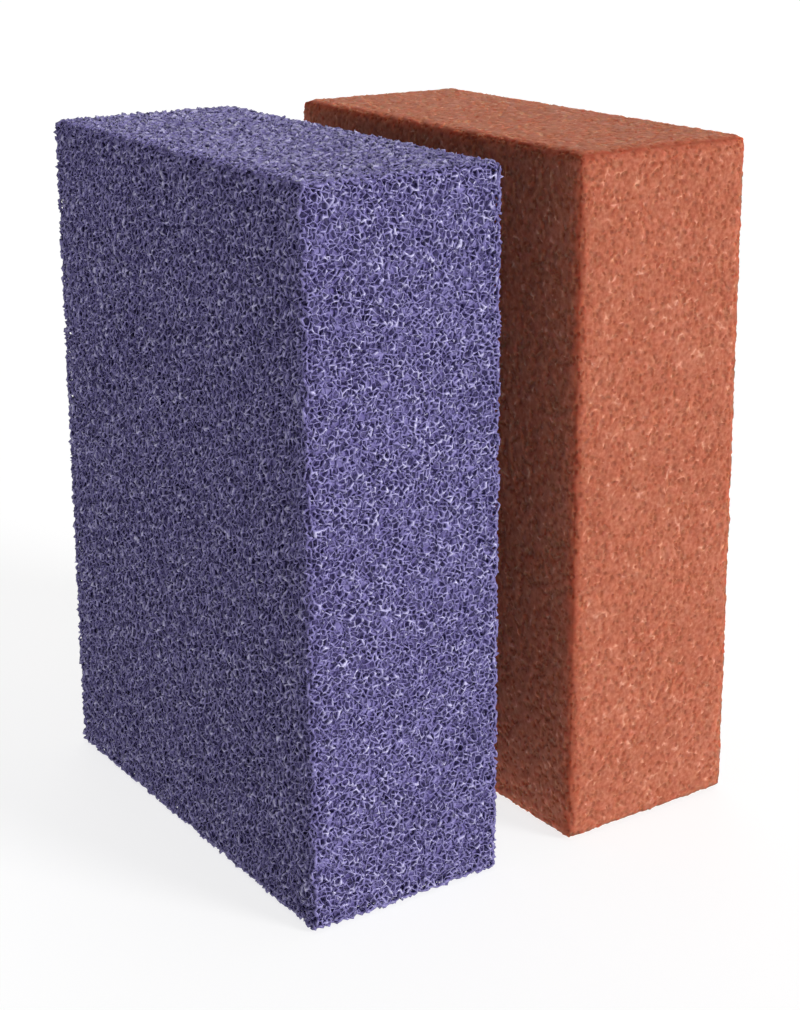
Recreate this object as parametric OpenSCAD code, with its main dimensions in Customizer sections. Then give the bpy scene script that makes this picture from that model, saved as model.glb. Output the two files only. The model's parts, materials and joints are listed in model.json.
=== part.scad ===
// Pair of open-cell foam bricks, one coarse and one fine, standing on end side by side.
// Millimetres, +Z up. Both stand on z = 0, with the middle of the gap between them at the origin.

/* [Bricks] */
// Height of each brick as it stands on end
brick_height = 250; // [150:1:400]
// Width of each brick's broad face, front to back
brick_width = 178; // [100:1:300]
// Thickness of each brick, side to side
brick_thickness = 76; // [40:1:120]

/* [Spacing] */
// Clear gap between the two bricks
brick_gap = 31; // [4:1:80]

/* [Cut edges] */
// Radius that the coarse brick's sawn edges are worn to
coarse_edge = 1.0; // [0.5:0.25:4]
// Radius that the fine brick's softer edges are worn to
fine_edge = 2.0; // [0.5:0.25:4]

/* [Hidden] */

coarse_colour = "slateblue";
fine_colour = "indianred";
edge_facets = 48;
// How far each brick's middle is from the middle of the gap
brick_offset = (brick_gap + brick_thickness) / 2;

// A rectangle a by b, centred, with its four corners rounded to radius r.
module rounded_rectangle(a, b, r) {
    square([a - 2 * r, b], center = true);
    square([a, b - 2 * r], center = true);
    for (x = [-1, 1], y = [-1, 1]) {
        translate([x * (a / 2 - r), y * (b / 2 - r)]) circle(r = r, $fn = edge_facets);
    }
}

// A straight bar of that rectangle along Z, centred on the origin.
module rounded_bar(a, b, length, r) {
    linear_extrude(height = length, center = true) rounded_rectangle(a, b, r);
}

// A sawn block with all twelve edges rounded: what three crossed bars have in common.
// It stands on z = 0, centred in X and Y.
module sawn_block(x, y, z, r) {
    translate([0, 0, z / 2]) intersection() {
        rounded_bar(x, y, z, r);
        rotate([90, 0, 0]) rounded_bar(x, z, y, r);
        rotate([0, 90, 0]) rounded_bar(z, y, x, r);
    }
}

// The coarse brick, on the -X side.
module coarse_brick() {
    color(coarse_colour) translate([-brick_offset, 0, 0])
        sawn_block(brick_thickness, brick_width, brick_height, coarse_edge);
}

// The fine brick, on the +X side.
module fine_brick() {
    color(fine_colour) translate([brick_offset, 0, 0])
        sawn_block(brick_thickness, brick_width, brick_height, fine_edge);
}

coarse_brick();
fine_brick();
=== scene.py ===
"""A pair of open-cell foam bricks, one coarse and one fine, standing on end side by side.

Each brick is a block of foam cut with a blade. The coarse brick shows an open net of struts over the
cells behind it. The fine brick shows a close skin of small cell mouths. Metres, with +Z up.
"""

import json
import logging
import math
from dataclasses import dataclass, field
from enum import Enum
from itertools import product
from typing import Any

import bpy
import numpy as np
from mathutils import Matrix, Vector

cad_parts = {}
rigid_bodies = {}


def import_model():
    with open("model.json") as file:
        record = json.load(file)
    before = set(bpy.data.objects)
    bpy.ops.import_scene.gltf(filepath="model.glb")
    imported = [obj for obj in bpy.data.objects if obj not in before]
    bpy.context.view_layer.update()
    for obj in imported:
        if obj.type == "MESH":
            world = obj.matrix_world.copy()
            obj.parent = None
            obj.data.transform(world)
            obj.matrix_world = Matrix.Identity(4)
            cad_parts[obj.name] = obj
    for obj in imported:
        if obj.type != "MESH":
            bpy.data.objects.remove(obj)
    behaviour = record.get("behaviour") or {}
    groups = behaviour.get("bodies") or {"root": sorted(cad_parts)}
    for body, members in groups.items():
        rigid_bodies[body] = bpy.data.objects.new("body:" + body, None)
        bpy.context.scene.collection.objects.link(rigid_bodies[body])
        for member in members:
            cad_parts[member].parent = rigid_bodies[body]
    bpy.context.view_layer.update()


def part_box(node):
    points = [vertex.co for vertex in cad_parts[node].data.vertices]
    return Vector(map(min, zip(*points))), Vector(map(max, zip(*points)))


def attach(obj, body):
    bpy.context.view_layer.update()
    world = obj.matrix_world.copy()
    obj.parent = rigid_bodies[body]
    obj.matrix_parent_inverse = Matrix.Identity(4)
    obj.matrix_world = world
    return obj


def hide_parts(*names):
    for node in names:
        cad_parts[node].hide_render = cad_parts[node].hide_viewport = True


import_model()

log = logging.getLogger("foam_bricks")

MM = 0.001
WHITE = (1.0, 1.0, 1.0, 1.0)
# A noise's middle value, how much each finer layer of it counts, and how many such layers it has
EVEN = 0.5
LAYER_SHARE = 0.5
BLOTCH_LAYERS = 2.0
GRAIN_LAYERS = 3.0
Colour = tuple[float, float, float]


class Side(Enum):
    """The six sides of a block: the axis that the side's normal lies on, and which way it points."""

    LEFT = (0, -1)
    RIGHT = (0, 1)
    FRONT = (1, -1)
    BACK = (1, 1)
    BASE = (2, -1)
    TOP = (2, 1)

    @property
    def axis(self) -> int:
        """The axis that the side's normal lies on."""
        return self.value[0]

    @property
    def sign(self) -> int:
        """Which way the normal points along that axis."""
        return self.value[1]

    @property
    def number(self) -> int:
        """The side's place in the list of sides."""
        return list(Side).index(self)

    @property
    def turn(self) -> tuple[float, float, float]:
        """The turn that faces a flat sheet, made facing up, out of this side."""
        quarter = self.sign * math.pi / 2
        if self.axis == 0:
            return (0.0, quarter, 0.0)
        if self.axis == 1:
            return (-quarter, 0.0, 0.0)
        return (0.0 if self.sign > 0 else math.pi, 0.0, 0.0)

    @property
    def sheet_axes(self) -> tuple[int, int]:
        """The block's axes that a sheet's own X and Y lie along once it is turned."""
        return ((2, 1), (0, 2), (0, 1))[self.axis]


class Mode(Enum):
    """What edit mode selects."""

    POINT = "VERT"
    EDGE = "EDGE"
    FACE = "FACE"


# ---------------------------------------------------------------------------
# Nodes
# ---------------------------------------------------------------------------


class Number:
    """A shader value that Python's own operators work on, each adding its Math node."""

    def __init__(self, graph: "Graph", socket: bpy.types.NodeSocket) -> None:
        """Wraps a socket.

        Args:
            graph: The nodes that the socket belongs to.
            socket: The output socket that holds the value.
        """
        self.graph = graph
        self.socket = socket

    def math(self, operation: str, *values: Any) -> "Number":
        """Adds one Math node.

        Args:
            operation: The Math node's operation.
            values: Its inputs, as numbers or wrapped sockets.

        Returns:
            The result.
        """
        node = self.graph.add("ShaderNodeMath", {"operation": operation}, dict(enumerate(values)))
        return Number(self.graph, node.outputs[0])

    def __add__(self, other: Any) -> "Number":
        """This plus other."""
        return self.math("ADD", self, other)

    def __radd__(self, other: Any) -> "Number":
        """Other plus this."""
        return self.math("ADD", other, self)

    def __sub__(self, other: Any) -> "Number":
        """This less other."""
        return self.math("SUBTRACT", self, other)

    def __rsub__(self, other: Any) -> "Number":
        """Other less this."""
        return self.math("SUBTRACT", other, self)

    def __mul__(self, other: Any) -> "Number":
        """This times other."""
        return self.math("MULTIPLY", self, other)

    def __rmul__(self, other: Any) -> "Number":
        """Other times this."""
        return self.math("MULTIPLY", other, self)

    def __truediv__(self, other: Any) -> "Number":
        """This over other."""
        return self.math("DIVIDE", self, other)

    def __abs__(self) -> "Number":
        """This without its sign."""
        return self.math("ABSOLUTE", self)

    def least(self, other: Any) -> "Number":
        """The lesser of this and other."""
        return self.math("MINIMUM", self, other)

    def clamped(self) -> "Number":
        """This held between 0 and 1."""
        return self.math("MAXIMUM", self.least(1.0), 0.0)


class Graph:
    """The nodes of a material, a world or a modifier."""

    def __init__(self, tree: bpy.types.NodeTree) -> None:
        """Wraps a node tree.

        Args:
            tree: The nodes.
        """
        self.tree = tree

    def fill(self, node: bpy.types.Node, inputs: dict[Any, Any]) -> None:
        """Sets or links a node's inputs.

        Args:
            node: The node.
            inputs: Values, sockets or wrapped sockets, under each input's name or number.
        """
        for key, value in inputs.items():
            if isinstance(value, Number):
                value = value.socket
            if isinstance(value, bpy.types.NodeSocket):
                self.tree.links.new(value, node.inputs[key])
            else:
                node.inputs[key].default_value = value

    def add(self, kind: str, settings: dict[str, Any], inputs: dict[Any, Any]) -> bpy.types.Node:
        """Adds a node.

        Args:
            kind: The node's type.
            settings: Its own settings, which are set before its inputs.
            inputs: What its inputs are set or linked to.

        Returns:
            The new node.
        """
        node = self.tree.nodes.new(kind)
        for name, value in settings.items():
            setattr(node, name, value)
        self.fill(node, inputs)
        return node

    def found(self, kind: str) -> bpy.types.Node:
        """Finds the tree's first node of a type, such as its shader."""
        return next(node for node in self.tree.nodes if node.type == kind)

    def noise(self, where: bpy.types.NodeSocket, size: float, detail: float = BLOTCH_LAYERS) -> Number:
        """Adds soft random blotches.

        Args:
            where: The coordinates to read.
            size: About how wide a blotch is, in metres.
            detail: How many finer layers it has.

        Returns:
            A value from 0 to 1, mostly near EVEN.
        """
        inputs = {"Vector": where, "Scale": 1 / size, "Detail": detail, "Roughness": LAYER_SHARE}
        return Number(self, self.add("ShaderNodeTexNoise", {}, inputs).outputs[0])

    def mix(self, share: Number, first: Any, second: Any) -> bpy.types.NodeSocket:
        """Mixes two colours.

        Args:
            share: How much of the second, from 0 to 1.
            first: A colour or a colour socket.
            second: A colour or a colour socket.

        Returns:
            The mixed colour.
        """
        factor, colour_a, colour_b, result = 0, 6, 7, 2
        first, second = ((*shade, 1.0) if isinstance(shade, tuple) else shade for shade in (first, second))
        inputs = {factor: share, colour_a: first, colour_b: second}
        return self.add("ShaderNodeMix", {"data_type": "RGBA"}, inputs).outputs[result]


# ---------------------------------------------------------------------------
# Mesh work
# ---------------------------------------------------------------------------


def select_only(piece: bpy.types.Object) -> None:
    """Selects one piece, makes it active, and deselects everything else.

    Args:
        piece: The object to work on.
    """
    bpy.ops.object.select_all(action="DESELECT")
    piece.select_set(True)
    bpy.context.view_layer.objects.active = piece


def open_edit(piece: bpy.types.Object, mode: Mode, everything: bool = False) -> None:
    """Opens a piece in edit mode with all or nothing of it selected.

    Args:
        piece: The object to edit.
        mode: What edit mode selects.
        everything: Whether all of the mesh starts selected.
    """
    select_only(piece)
    bpy.ops.object.mode_set(mode="EDIT")
    bpy.ops.mesh.select_mode(type=mode.value)
    bpy.ops.mesh.select_all(action="SELECT" if everything else "DESELECT")


def close_edit() -> None:
    """Goes back to object mode."""
    bpy.ops.object.mode_set(mode="OBJECT")


def points_of(piece: bpy.types.Object) -> np.ndarray:
    """Reads a piece's points.

    Args:
        piece: The object to read, in object mode.

    Returns:
        One row of X, Y and Z for each point.
    """
    flat = np.empty(len(piece.data.vertices) * 3)
    piece.data.vertices.foreach_get("co", flat)
    return flat.reshape(-1, 3)


def edit_points(piece: bpy.types.Object, wanted: np.ndarray) -> None:
    """Opens a piece in edit mode with some of its points selected.

    Args:
        piece: The object to edit.
        wanted: True for each point to select.
    """
    open_edit(piece, Mode.POINT)
    close_edit()
    piece.data.vertices.foreach_set("select", wanted)
    bpy.ops.object.mode_set(mode="EDIT")


def edit_faces(piece: bpy.types.Object, wanted: np.ndarray) -> None:
    """Opens a piece in edit mode with some of its faces selected.

    Args:
        piece: The object to edit.
        wanted: True for each face to select.
    """
    open_edit(piece, Mode.FACE)
    close_edit()
    piece.data.polygons.foreach_set("select", wanted)
    bpy.ops.object.mode_set(mode="EDIT")


def apply_modifier(piece: bpy.types.Object, modifier: bpy.types.Modifier) -> None:
    """Applies a modifier to its piece.

    Args:
        piece: The object that has the modifier.
        modifier: The modifier to apply.
    """
    select_only(piece)
    bpy.ops.object.modifier_apply(modifier=modifier.name)


def loosen(piece: bpy.types.Object, by: float, seed: int) -> None:
    """Moves every point of a piece the same small distance, each in a direction of its own.

    Args:
        piece: The object to loosen.
        by: How far each point goes.
        seed: The random draw.
    """
    open_edit(piece, Mode.POINT, everything=True)
    bpy.ops.transform.vertex_random(offset=by, uniform=1.0, normal=0.0, seed=seed)
    close_edit()


@dataclass(frozen=True)
class Pull:
    """A random share of a surface's points that stand out of it or lie back.

    Attributes:
        share: The share of the points, from 0 to 1.
        by: How far they stand out, or lie back where it is negative.
        seed: The random draw.
    """

    share: float
    by: float
    seed: int

    def shape(self, piece: bpy.types.Object) -> None:
        """Moves the points along their normals.

        Args:
            piece: The object to roughen.
        """
        open_edit(piece, Mode.POINT)
        bpy.ops.mesh.select_random(ratio=self.share, seed=self.seed)
        bpy.ops.transform.shrink_fatten(value=self.by)
        close_edit()


@dataclass(frozen=True)
class Mouths:
    """The open cells of a surface, sunk into it with rims left between them.

    Attributes:
        rim: Width of the rims.
        drop: Depth of the open cells.
        share: Share of the cells that are open, from 0 to 1.
    """

    rim: float
    drop: float
    share: float

    def sink(self, piece: bpy.types.Object, seed: int) -> None:
        """Sinks the cells.

        Args:
            piece: The object whose faces are the cells.
            seed: The random draw of the open ones.
        """
        open_edit(piece, Mode.FACE)
        bpy.ops.mesh.select_random(ratio=self.share, seed=seed)
        bpy.ops.mesh.inset(
            thickness=self.rim, depth=-self.drop, use_individual=True, use_even_offset=False
        )
        close_edit()


def stand_on_floor(piece: bpy.types.Object) -> None:
    """Flattens what reaches below the floor on to it.

    Args:
        piece: The object that stands at z = 0.
    """
    edit_points(piece, points_of(piece)[:, 2] < 0)
    bpy.ops.transform.resize(value=(1, 1, 0), center_override=(0, 0, 0))
    close_edit()


def cells_group() -> bpy.types.NodeTree:
    """Finds or makes the node group that turns a net of triangles into the net of cells across it.

    Returns:
        A geometry node group with one geometry in and one out.
    """
    name = "cells_from_triangles"
    if name in bpy.data.node_groups:
        return bpy.data.node_groups[name]
    group = bpy.data.node_groups.new(name, "GeometryNodeTree")
    for way in ("INPUT", "OUTPUT"):
        group.interface.new_socket("Geometry", in_out=way, socket_type="NodeSocketGeometry")
    graph = Graph(group)
    start = graph.add("NodeGroupInput", {}, {})
    dual = graph.add("GeometryNodeDualMesh", {}, {0: start.outputs[0]})
    graph.add("NodeGroupOutput", {}, {0: dual.outputs[0]})
    return group


@dataclass(frozen=True)
class Patch:
    """A piece of a skin: all or part of one or more sides.

    Attributes:
        name: The piece's name.
        sides: The sides that it takes.
        ceiling: The height that it stops at.
        heart: Where its rim is drawn in to, from the block's middle, as shares of the block's half sizes.
    """

    name: str
    sides: tuple[Side, ...]
    ceiling: float = math.inf
    heart: tuple[float, float, float] = (0.0, 0.0, 0.0)


@dataclass
class CellSkin:
    """The cut surface of a foam block: a closed skin of random many-sided cells.

    Attributes:
        low: The block's lowest corner.
        high: The block's highest corner.
        pitch: The distance between cells.
        seed: The first of the skin's random draws.
        scatter: How far a cell strays from its row, as a share of the pitch.
        eased: How far from the block's edges they are worn round.
        passes: How many smoothing passes wear the edges.
        smoothing: How strong each of them is, from 0 to 1.
        weld: How near the sheets' points join, as a share of the pitch.
        on_edge: How near a point counts as on a block's edge, as a share of the pitch.
        flat: How far apart two triangles may face and still be evened out, in degrees.
    """

    low: Vector
    high: Vector
    pitch: float
    seed: int
    scatter: float = 0.42
    eased: float = 0.0
    passes: int = 0
    smoothing: float = 0.5
    weld: float = 0.02
    on_edge: float = 0.25
    flat: float = 20.0

    @property
    def middle(self) -> Vector:
        """The block's middle."""
        return (self.low + self.high) / 2

    def strew(self, free: list[int], anchor: Vector, draw: int) -> None:
        """Moves the selected points about at random, only along the free axes.

        Args:
            free: 1 for each axis that the points may move along, and 0 for the others.
            anchor: The place on the other axes that the points keep.
            draw: Which of the skin's random draws this is.
        """
        bpy.ops.transform.vertex_random(
            offset=self.scatter * self.pitch, uniform=1.0, normal=0.0, seed=self.seed + draw
        )
        bpy.ops.transform.resize(value=free, center_override=anchor)

    def sheet(self, side: Side) -> bpy.types.Object:
        """Lays one side's grid of cell centres, with its inner ones strewn about in their plane.

        Args:
            side: The side to lay.

        Returns:
            The flat sheet, in place.
        """
        size = self.high - self.low
        anchor = self.middle
        anchor[side.axis] = (self.low if side.sign < 0 else self.high)[side.axis]
        cells = [max(2, round(size[axis] / self.pitch)) for axis in side.sheet_axes]
        bpy.ops.object.select_all(action="DESELECT")
        bpy.ops.mesh.primitive_grid_add(
            x_subdivisions=cells[0], y_subdivisions=cells[1], size=1.0, location=anchor, rotation=side.turn
        )
        sheet = bpy.context.active_object
        bpy.ops.object.transform_apply(location=True, rotation=True, scale=True)
        open_edit(sheet, Mode.POINT, everything=True)
        stretch = [1.0 if axis == side.axis else size[axis] for axis in range(3)]
        bpy.ops.transform.resize(value=stretch, center_override=anchor)
        close_edit()
        point = points_of(sheet)
        inner = np.ones(len(point), bool)
        for axis in side.sheet_axes:
            inner &= point[:, axis] > self.low[axis] + self.pitch / 2
            inner &= point[:, axis] < self.high[axis] - self.pitch / 2
        edit_points(sheet, inner)
        self.strew([0 if axis == side.axis else 1 for axis in range(3)], anchor, side.number)
        close_edit()
        return sheet

    def strew_edges(self, skin: bpy.types.Object) -> None:
        """Strews the cell centres on each of the block's twelve edges along that edge.

        Args:
            skin: The joined grid of cell centres.
        """
        near = self.on_edge * self.pitch
        draw = len(Side)
        for axis in range(3):
            others = [other for other in range(3) if other != axis]
            for corners in product((self.low, self.high), repeat=2):
                anchor = self.middle
                for other, corner in zip(others, corners):
                    anchor[other] = corner[other]
                point = points_of(skin)
                wanted = point[:, axis] > self.low[axis] + near
                wanted &= point[:, axis] < self.high[axis] - near
                for other in others:
                    wanted &= abs(point[:, other] - anchor[other]) < near
                edit_points(skin, wanted)
                self.strew([int(a == axis) for a in range(3)], anchor, draw)
                close_edit()
                draw += 1

    def ease_edges(self, skin: bpy.types.Object) -> None:
        """Wears the block's edges round by smoothing the points near them.

        Args:
            skin: The net of triangles.
        """
        point = points_of(skin)
        gap = np.minimum(point - np.array(self.low), np.array(self.high) - point)
        edit_points(skin, (gap < self.eased).sum(axis=1) >= 2)
        bpy.ops.mesh.vertices_smooth(factor=self.smoothing, repeat=self.passes)
        close_edit()

    def build(self, name: str) -> bpy.types.Object:
        """Makes the closed skin.

        Args:
            name: The new object's name.

        Returns:
            The skin, with a face for each cell and its edges where the struts run.
        """
        sheets = [self.sheet(side) for side in Side]
        select_only(sheets[0])
        for sheet in sheets:
            sheet.select_set(True)
        bpy.ops.object.join()
        skin = bpy.context.active_object
        skin.name = name
        open_edit(skin, Mode.POINT, everything=True)
        bpy.ops.mesh.remove_doubles(threshold=self.weld * self.pitch)
        close_edit()
        self.strew_edges(skin)
        open_edit(skin, Mode.FACE, everything=True)
        bpy.ops.mesh.quads_convert_to_tris(quad_method="SHORTEST_DIAGONAL")
        bpy.ops.mesh.beautify_fill(angle_limit=math.radians(self.flat))
        close_edit()
        if self.passes:
            self.ease_edges(skin)
        cells = skin.modifiers.new("cells", "NODES")
        cells.node_group = cells_group()
        apply_modifier(skin, cells)
        return skin

    def part(self, skin: bpy.types.Object, patches: tuple[Patch, ...]) -> list[bpy.types.Object]:
        """Parts the skin between its cells.

        Args:
            skin: The closed skin, which becomes the last piece.
            patches: The pieces to make, each from what those before it left.

        Returns:
            The pieces, in the order of the patches.
        """
        *taken, rest = patches
        pieces = []
        for patch in taken:
            normal = np.array([face.normal for face in skin.data.polygons])
            height = np.array([face.center.z for face in skin.data.polygons])
            facing = np.stack([side.sign * normal[:, side.axis] for side in Side], axis=1).argmax(axis=1)
            on_sides = np.isin(facing, [side.number for side in patch.sides])
            edit_faces(skin, on_sides & (height < patch.ceiling))
            bpy.ops.mesh.separate(type="SELECTED")
            close_edit()
            piece = next(other for other in bpy.context.selected_objects if other != skin)
            piece.name = patch.name
            pieces.append(piece)
        skin.name = rest.name
        return [*pieces, skin]

    def close_behind(self, piece: bpy.types.Object, patch: Patch) -> None:
        """Draws a patch's rim in to its heart, so that the patch becomes a closed wedge of the block.

        Args:
            piece: The open patch of skin.
            patch: What it was cut by.
        """
        half_size = (self.high - self.low) / 2
        heart = self.middle + Vector(share * half for share, half in zip(patch.heart, half_size))
        open_edit(piece, Mode.EDGE)
        bpy.ops.mesh.select_non_manifold(
            extend=False, use_wire=False, use_multi_face=False, use_non_contiguous=False, use_verts=False
        )
        bpy.ops.mesh.extrude_edges_move()
        bpy.ops.transform.resize(value=(0, 0, 0), center_override=heart)
        bpy.ops.mesh.merge(type="CENTER")
        close_edit()


# ---------------------------------------------------------------------------
# Finishes
# ---------------------------------------------------------------------------


@dataclass(frozen=True)
class FoamFinish:
    """The look of a foam's struts.

    Attributes:
        name: The material's name.
        strut: Colour of the struts at the cut surface.
        pale: Colour of the palest struts.
        tip_glint: Colour of the painted highlight, a glint of light, on the cut tips that stand out of the
            surface.
        depth_shade: Colour of the painted shade that the cells take deeper in.
        cell: Distance between the foam's cells.
        mottle: How strongly the strut and pale colours part.
        drift: How wide the slow change between those colours is, in cells.
        drift_share: How strong it is.
        glint_from: Depth at which the struts begin to turn to the painted glint's colour.
        glint_fade: How much further out they have turned to it.
        glint_least: Share of the painted glint's colour that even the darkest struts take.
        depth: How far in the colour has turned fully to the painted shade.
        roughness: Roughness of the smoothest and the roughest struts.
        rough_grain: How much of that range the blotches make.
        rough_sunk: How much of it the depth makes.
        gloss: Strength of the shine of the struts themselves.
        coat: Strength of the gloss over the struts.
        coat_roughness: Roughness of that gloss.
        bump: Height of the fine grain on the struts.
        bump_width: Width of the fine grain, in cells.
        glow: Share of the light that goes into the foam and comes out near by.
        glow_tint: How far each colour of it gets, against the reach.
        glow_reach: How far it gets.
    """

    name: str
    strut: Colour
    pale: Colour
    tip_glint: Colour
    depth_shade: Colour
    cell: float
    mottle: float
    glint_from: float
    glint_fade: float
    depth: float
    roughness: tuple[float, float]
    gloss: float
    coat: float
    bump: float
    drift: float = 9.0
    drift_share: float = 0.8
    glint_least: float = 0.3
    rough_grain: float = 0.7
    rough_sunk: float = 0.5
    coat_roughness: float = 0.2
    bump_width: float = 0.2
    glow: float = 0.0
    glow_tint: Colour = (1.0, 0.15, 0.08)
    glow_reach: float = 9 * MM

    def make(self, low: Vector, high: Vector) -> bpy.types.Material:
        """Makes the material for one block.

        Args:
            low: The block's lowest corner.
            high: The block's highest corner.

        Returns:
            The finished material.
        """
        material = bpy.data.materials.new(self.name)
        material.use_nodes = True
        graph = Graph(material.node_tree)
        where = graph.add("ShaderNodeTexCoord", {}, {}).outputs["Object"]
        place = graph.add("ShaderNodeSeparateXYZ", {}, {"Vector": where})
        middle, half = (low + high) / 2, (high - low) / 2
        inward = [half[axis] - abs(Number(graph, place.outputs[axis]) - middle[axis]) for axis in range(3)]
        nearest = inward[0].least(inward[1]).least(inward[2])
        # How deep a point lies inside the block, from 0 at its faces to 1 at the set depth. It turns the
        # colour to painted shade and makes the struts rougher.
        sunk = (nearest / self.depth).clamped()
        grain = graph.noise(where, self.cell)
        drift = graph.noise(where, self.cell * self.drift)
        blotches = (grain - EVEN) * self.mottle + (drift - EVEN) * self.drift_share
        paleness = (blotches + EVEN).clamped()
        # Painted highlight: the cut tips that stand out of the surface take a pale colour standing in for
        # glints of light on them, stronger on the paler struts.
        glint_strength = paleness * (1 - self.glint_least) + self.glint_least
        painted_glint = ((self.glint_from - nearest) / self.glint_fade).clamped() * glint_strength
        surface = graph.mix(painted_glint, graph.mix(paleness, self.strut, self.pale), self.tip_glint)
        smooth, rough = self.roughness
        wear = grain * self.rough_grain + sunk * self.rough_sunk
        roughness = (smooth + (rough - smooth) * wear).clamped()
        height = graph.noise(where, self.cell * self.bump_width, detail=GRAIN_LAYERS)
        bump = graph.add("ShaderNodeBump", {}, {"Height": height, "Distance": self.bump, "Strength": 1.0})
        inputs = {
            # Painted shade: the colour turns darker the deeper the surface lies, standing in for the shade
            # inside the foam.
            "Base Color": graph.mix(sunk, surface, self.depth_shade),
            "Roughness": roughness,
            "Normal": bump.outputs["Normal"],
            "Specular IOR Level": self.gloss,
            "Subsurface Weight": self.glow,
            "Subsurface Radius": self.glow_tint,
            "Subsurface Scale": self.glow_reach,
            "Coat Weight": self.coat,
            "Coat Roughness": self.coat_roughness,
        }
        graph.fill(graph.found("BSDF_PRINCIPLED"), inputs)
        return material


@dataclass(frozen=True)
class PaperFinish:
    """The pale matt paper of the floor.

    Attributes:
        name: The material's name.
        colour: Colour of the paper.
        roughness: Roughness of its smoothest and its roughest blotches.
        grain: Width of the blotches.
        glow: How much light the paper gives off.
    """

    name: str = "floor_paper"
    colour: Colour = (0.27, 0.27, 0.27)
    roughness: tuple[float, float] = (0.85, 0.95)
    grain: float = 2 * MM
    glow: float = 0.78

    def make(self) -> bpy.types.Material:
        """Makes the material.

        Returns:
            The finished material.
        """
        material = bpy.data.materials.new(self.name)
        material.use_nodes = True
        graph = Graph(material.node_tree)
        where = graph.add("ShaderNodeTexCoord", {}, {}).outputs["Object"]
        grain = graph.noise(where, self.grain)
        smooth, rough = self.roughness
        inputs = {
            "Base Color": (*self.colour, 1.0),
            "Roughness": smooth + (rough - smooth) * grain,
            "Emission Color": WHITE,
            "Emission Strength": self.glow,
        }
        graph.fill(graph.found("BSDF_PRINCIPLED"), inputs)
        return material


# ---------------------------------------------------------------------------
# The bricks
# ---------------------------------------------------------------------------


@dataclass
class FoamBrick:
    """A foam block that stands for one CAD node.

    Attributes:
        node: The CAD node that it replaces, which is also its body's name.
        slot: The record's material slot for it; not used.
        finish: The look of its foam.
        pieces: The pieces that are built so far.
        eased: How far from the block's edges they are worn round.
        passes: How many smoothing passes wear them.
    """

    node: str
    slot: str
    finish: FoamFinish
    pieces: list[bpy.types.Object] = field(default_factory=list)
    eased: float = 0.0
    passes: int = 0

    @property
    def low(self) -> Vector:
        """The block's lowest corner."""
        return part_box(self.node)[0]

    @property
    def high(self) -> Vector:
        """The block's highest corner."""
        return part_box(self.node)[1]

    def skin(self, inset: float, pitch: float, seed: int) -> CellSkin:
        """Plans a skin of cells some way inside the block.

        Args:
            inset: How far inside the block's faces the skin lies.
            pitch: The distance between cells.
            seed: The first of the skin's random draws.

        Returns:
            The plan, from which the skin is built.
        """
        margin = Vector((inset, inset, inset))
        low, high = self.low + margin, self.high - margin
        return CellSkin(low, high, pitch, seed, eased=self.eased, passes=self.passes)

    def dress(self) -> None:
        """Gives every piece its finish, smooths its shading, and fixes it to the brick's body."""
        material = self.finish.make(self.low, self.high)
        for piece in self.pieces:
            stand_on_floor(piece)
            piece.data.materials.clear()
            piece.data.materials.append(material)
            select_only(piece)
            bpy.ops.object.shade_smooth()
            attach(piece, self.node)
            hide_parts(self.node)
            piece.data.calc_loop_triangles()
            log.info("%s: %d triangles", piece.name, len(piece.data.loop_triangles))


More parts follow.
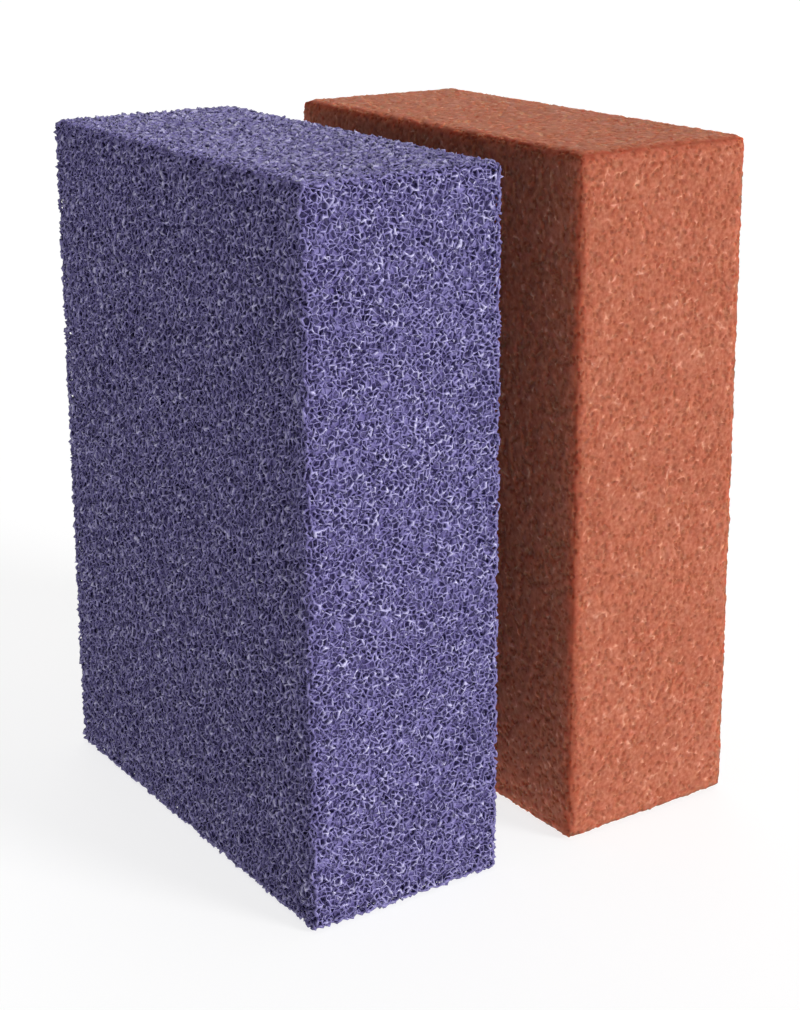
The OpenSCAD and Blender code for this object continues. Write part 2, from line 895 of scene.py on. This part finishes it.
@dataclass
class CoarseBrick(FoamBrick):
    """The coarse brick: an open net of knobbly struts over the cells behind it.

    Attributes:
        eased: How far from the block's edges they are worn round.
        passes: How many smoothing passes wear them.
        net_pitch: Distance between the net's cells.
        net_depth: How far the net lies inside the block's faces.
        net_play: How far the net's knots stray from it.
        net_pull: The knots that stand out.
        net_seeds: The random draws of the net's cells, its knots' play and its first patch's knobs.
        knob: Thickness of the fattest knots.
        thinnest: Thickness of the thinnest struts, as a share of the knob's.
        rarity: How rare fat knots are; at 1 they are as common as thin ones.
        core_pitch: Distance between the cells behind.
        core_depth: How far their rims lie inside the block's faces.
        core_play: How far their rims stray.
        core_pulls: The rims that stand out and lie back.
        core_mouths: The open ones among them.
        core_seeds: The random draws of these cells, their rims' play and the first half's open ones.
    """

    eased: float = 3.0 * MM
    passes: int = 3
    net_pitch: float = 1.75 * MM
    net_depth: float = 0.75 * MM
    net_play: float = 0.68 * MM
    net_pull: Pull = Pull(share=0.08, by=0.5 * MM, seed=6)
    net_seeds: tuple[int, int, int] = (100, 5, 10)
    knob: float = 1.75 * MM
    thinnest: float = 0.36
    rarity: float = 2.0
    core_pitch: float = 2.2 * MM
    core_depth: float = 1.5 * MM
    core_play: float = 0.4 * MM
    core_pulls: tuple[Pull, ...] = (Pull(0.25, 0.6 * MM, seed=12), Pull(0.25, -0.6 * MM, seed=13))
    core_mouths: Mouths = Mouths(rim=0.3 * MM, drop=1.3 * MM, share=0.4)
    core_seeds: tuple[int, int, int] = (200, 7, 30)

    def build_net(self) -> None:
        """Makes the net of struts at the cut surface, in patches."""
        cell_seed, play_seed, knob_seed = self.net_seeds
        plan = self.skin(self.net_depth, self.net_pitch, cell_seed)
        net = plan.build("coarse_net")
        loosen(net, self.net_play, play_seed)
        self.net_pull.shape(net)
        waist = plan.middle.z
        patches = (
            Patch("coarse_net_left_low", (Side.LEFT,), waist),
            Patch("coarse_net_left_high", (Side.LEFT,)),
            Patch("coarse_net_right_low", (Side.RIGHT,), waist),
            Patch("coarse_net_right_high", (Side.RIGHT,)),
            Patch("coarse_net_front", (Side.FRONT,)),
            Patch("coarse_net_back", (Side.BACK,)),
            Patch("coarse_net_base", (Side.BASE,)),
            Patch("coarse_net_top", (Side.TOP,)),
        )
        for number, piece in enumerate(plan.part(net, patches)):
            self.thicken(piece, knob_seed + number)
            self.pieces.append(piece)

    def thicken(self, patch: bpy.types.Object, seed: int) -> None:
        """Turns a patch's edges into struts, thin along their length and fat at some knots.

        Args:
            patch: The patch of cells.
            seed: The random draw.
        """
        knots = patch.vertex_groups.new(name="knots")
        drawn = np.random.default_rng(seed).random(len(patch.data.vertices))
        for index, fatness in enumerate(self.thinnest + (1 - self.thinnest) * drawn**self.rarity):
            knots.add([index], float(fatness), "REPLACE")
        struts = patch.modifiers.new("struts", "WIREFRAME")
        struts.thickness = self.knob
        struts.vertex_group = knots.name
        struts.thickness_vertex_group = 0.0
        struts.use_replace = True
        struts.use_boundary = True
        struts.use_even_offset = False
        struts.use_relative_offset = False
        apply_modifier(patch, struts)

    def build_core(self) -> None:
        """Makes the cells behind the net, as two closed halves."""
        cell_seed, play_seed, mouth_seed = self.core_seeds
        plan = self.skin(self.core_depth, self.core_pitch, cell_seed)
        core = plan.build("coarse_core")
        loosen(core, self.core_play, play_seed)
        for pull in self.core_pulls:
            pull.shape(core)
        patches = (
            Patch("coarse_core_left", (Side.LEFT, Side.FRONT, Side.BASE)),
            Patch("coarse_core_right", (Side.RIGHT, Side.BACK, Side.TOP)),
        )
        for number, (piece, patch) in enumerate(zip(plan.part(core, patches), patches)):
            self.core_mouths.sink(piece, mouth_seed + number)
            plan.close_behind(piece, patch)
            self.pieces.append(piece)


@dataclass
class FineBrick(FoamBrick):
    """The fine brick: a close, uneven skin of small cells, some of them open, with softly worn edges.

    Attributes:
        eased: How far from the block's edges they are worn round.
        passes: How many smoothing passes wear them.
        pitch: Distance between cells.
        inset: How far the skin lies inside the block's faces.
        play: How far the cells' corners stray.
        pulls: The corners that stand out and lie back.
        mouths: The open cells.
        seeds: The random draws of the cells, their corners' play and the first patch's open cells.
    """

    eased: float = 3.2 * MM
    passes: int = 8
    pitch: float = 1.74 * MM
    inset: float = 0.2 * MM
    play: float = 0.15 * MM
    pulls: tuple[Pull, ...] = (Pull(0.2, 0.16 * MM, seed=9), Pull(0.2, -0.16 * MM, seed=11))
    mouths: Mouths = Mouths(rim=0.3 * MM, drop=0.38 * MM, share=0.3)
    seeds: tuple[int, int, int] = (300, 7, 20)

    def build_skin(self) -> None:
        """Makes the cut surface, as closed wedges of the block."""
        cell_seed, play_seed, mouth_seed = self.seeds
        plan = self.skin(self.inset, self.pitch, cell_seed)
        skin = plan.build("fine_skin")
        loosen(skin, self.play, play_seed)
        for pull in self.pulls:
            pull.shape(skin)
        patches = (
            Patch("fine_skin_near", (Side.LEFT, Side.FRONT, Side.TOP), heart=(0.8, 0.8, -0.8)),
            Patch("fine_skin_far", (Side.RIGHT, Side.BACK), heart=(-0.8, -0.8, 0.0)),
            Patch("fine_skin_base", (Side.BASE,)),
        )
        for number, (piece, patch) in enumerate(zip(plan.part(skin, patches), patches)):
            self.mouths.sink(piece, mouth_seed + number)
            plan.close_behind(piece, patch)
            self.pieces.append(piece)


# ---------------------------------------------------------------------------
# The studio
# ---------------------------------------------------------------------------


@dataclass(frozen=True)
class Lamp:
    """A broad soft light from a long way off.

    Attributes:
        name: The light's name.
        bearing: The direction that it comes from.
        strength: How strong it is.
        spread: How wide it looks from the bricks, in degrees.
    """

    name: str
    bearing: tuple[float, float, float]
    strength: float
    spread: float = 30.0

    def hang(self) -> None:
        """Makes the light."""
        light = bpy.data.lights.new(self.name, "SUN")
        light.energy = self.strength
        light.angle = math.radians(self.spread)
        lamp = bpy.data.objects.new(self.name, light)
        bpy.context.scene.collection.objects.link(lamp)
        lamp.location = self.bearing
        lamp.rotation_mode = "QUATERNION"
        lamp.rotation_quaternion = Vector(self.bearing).to_track_quat("Z", "Y")


@dataclass(frozen=True)
class Studio:
    """A white sweep, a soft key light from the front right, and the camera.

    Attributes:
        ambient: Strength of the light from all round.
        sky: How bright the surroundings look to the camera.
        floor_size: Side of the floor.
        floor_gap: How far below the bricks it lies.
        eye: The camera's place from the coarse brick's front left foot, in brick heights.
        heading: How far the camera looks to the right of straight back, in degrees.
        pitch: How far it looks down, in degrees.
        lens: Its focal length in millimetres.
        sensor: Width of its sensor in millimetres.
        nearest: The least distance that it sees.
        shift: How far the frame is shifted, as a share of its long side.
        lamps: The lights that are hung.
    """

    ambient: float = 0.04
    sky: float = 1.0
    floor_size: float = 60.0
    floor_gap: float = 0.2 * MM
    eye: tuple[float, float, float] = (-1.178, -1.957, 1.376)
    heading: float = 35.05
    pitch: float = 14.25
    lens: float = 69.0
    sensor: float = 36.0
    nearest: float = 10 * MM
    shift: tuple[float, float] = (-0.035, -0.155)
    lamps: tuple[Lamp, ...] = (
        Lamp("key", (0.42, -0.83, 0.34), 2.8, 20.0),
        Lamp("fill", (-0.45, -0.80, 0.36), 0.5),
        Lamp("top", (0.10, 0.0, 1.0), 0.9, 50.0),
        Lamp("back", (0.45, 0.85, 0.20), 1.0, 50.0),
    )

    def lay_floor(self) -> None:
        """Lays the paper floor just under the bricks."""
        bpy.ops.object.select_all(action="DESELECT")
        bpy.ops.mesh.primitive_plane_add(size=self.floor_size, location=(0.0, 0.0, -self.floor_gap))
        floor = bpy.context.active_object
        floor.name = "floor"
        floor.data.materials.append(PaperFinish().make())

    def light(self) -> None:
        """Sets the light from all round, which looks white to the camera, and hangs the lamps."""
        scene = bpy.context.scene
        scene.view_settings.view_transform = "Standard"
        scene.world = bpy.data.worlds.new("studio")
        scene.world.use_nodes = True
        graph = Graph(scene.world.node_tree)
        seen = graph.add("ShaderNodeLightPath", {}, {}).outputs["Is Camera Ray"]
        strength = graph.add("ShaderNodeMix", {}, {"Factor": seen, "A": self.ambient, "B": self.sky})
        inputs = {"Color": WHITE, "Strength": strength.outputs["Result"]}
        graph.fill(graph.found("BACKGROUND"), inputs)
        for lamp in self.lamps:
            lamp.hang()

    def place_camera(self, brick: FoamBrick) -> None:
        """Puts the camera at its place in front of the coarse brick.

        Args:
            brick: The coarse brick.
        """
        height = brick.high.z - brick.low.z
        heading, pitch = math.radians(self.heading), math.radians(self.pitch)
        level = Vector((math.sin(heading), math.cos(heading), 0.0))
        ahead = level * math.cos(pitch) - Vector((0.0, 0.0, math.sin(pitch)))
        optics = bpy.data.cameras.new("camera")
        optics.sensor_width = self.sensor
        optics.lens = self.lens
        optics.shift_x, optics.shift_y = self.shift
        optics.clip_start = self.nearest
        camera = bpy.data.objects.new("camera", optics)
        bpy.context.scene.collection.objects.link(camera)
        camera.location = brick.low + height * Vector(self.eye)
        camera.rotation_mode = "QUATERNION"
        camera.rotation_quaternion = ahead.to_track_quat("-Z", "Y")
        bpy.context.scene.camera = camera


VIOLET_FOAM = FoamFinish(
    name="violet_struts",
    strut=(0.130, 0.110, 0.285),
    pale=(0.260, 0.230, 0.490),
    # Painted highlight: the pale colour of the cut tips stands in for glints of light.
    tip_glint=(0.54, 0.515, 0.74),
    # Painted shade: the darker colour that the cells take deeper in.
    depth_shade=(0.105, 0.080, 0.260),
    cell=2.6 * MM,
    mottle=3.6,
    glint_from=0.15 * MM,
    glint_fade=0.6 * MM,
    depth=2.6 * MM,
    roughness=(0.25, 0.45),
    gloss=0.45,
    coat=0.12,
    bump=0.05 * MM,
)
TERRACOTTA_FOAM = FoamFinish(
    name="terracotta_struts",
    strut=(0.330, 0.096, 0.054),
    pale=(0.470, 0.166, 0.103),
    # Painted highlight: the pale colour of the cut tips stands in for glints of light.
    tip_glint=(0.61, 0.30, 0.21),
    # Painted shade: the darker colour that the cells take deeper in.
    depth_shade=(0.24, 0.052, 0.026),
    cell=1.5 * MM,
    mottle=3.0,
    glint_from=0.10 * MM,
    glint_fade=0.15 * MM,
    depth=1.6 * MM,
    roughness=(0.7, 0.9),
    gloss=0.08,
    coat=0.0,
    bump=0.08 * MM,
    glow=1.0,
)


def main() -> None:
    """Builds both bricks and the studio round them, and reports each piece."""
    logging.basicConfig(level=logging.INFO, format="%(name)s: %(message)s")
    coarse = CoarseBrick("coarse_brick", "coarse_foam", VIOLET_FOAM)
    coarse.build_net()
    coarse.build_core()
    coarse.dress()
    fine = FineBrick("fine_brick", "fine_foam", TERRACOTTA_FOAM)
    fine.build_skin()
    fine.dress()
    studio = Studio()
    studio.lay_floor()
    studio.light()
    studio.place_camera(coarse)


if __name__ == "__main__":
    main()
